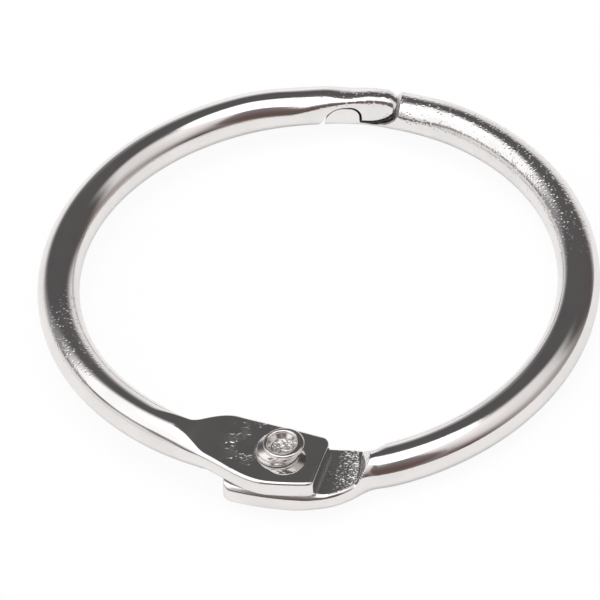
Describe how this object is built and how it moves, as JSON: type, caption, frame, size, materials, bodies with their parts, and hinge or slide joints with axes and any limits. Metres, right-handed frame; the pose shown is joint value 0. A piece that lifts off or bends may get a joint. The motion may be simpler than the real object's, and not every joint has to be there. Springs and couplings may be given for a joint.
{
  "type": "binder ring",
  "caption": "Hinged loose-leaf binder ring of round wire: flattened lapped tabs turn on a hollow rivet, and hooked wire ends interlock at the clasp.",
  "frame": {"origin": "centre of the closed ring, on the plane where the two halves meet at the hinge", "axes": "+Z through the ring, towards the rivet's rolled head; +Y from the hinge towards the clasp; +X towards the half whose tab lies underneath"},
  "size_m": [0.0294, 0.0305, 0.0036],
  "materials": {
    "nickel_wire": "bright nickel plate on drawn steel wire, with fine pits",
    "nickel_rivet": "bright nickel plate on a rolled tubular rivet"
  },
  "bodies": {
    "left_half": {"left_half_ring": "nickel_wire", "hinge_rivet": "nickel_rivet"},
    "right_half": {"right_half_ring": "nickel_wire"}
  },
  "joints": [
    {"name": "hinge", "type": "hinge", "parent": "left_half", "child": "right_half", "pos_m": [0, -0.0136, 0], "axis": [0, 0, 1], "range_deg": [-150, 0]}
  ]
}
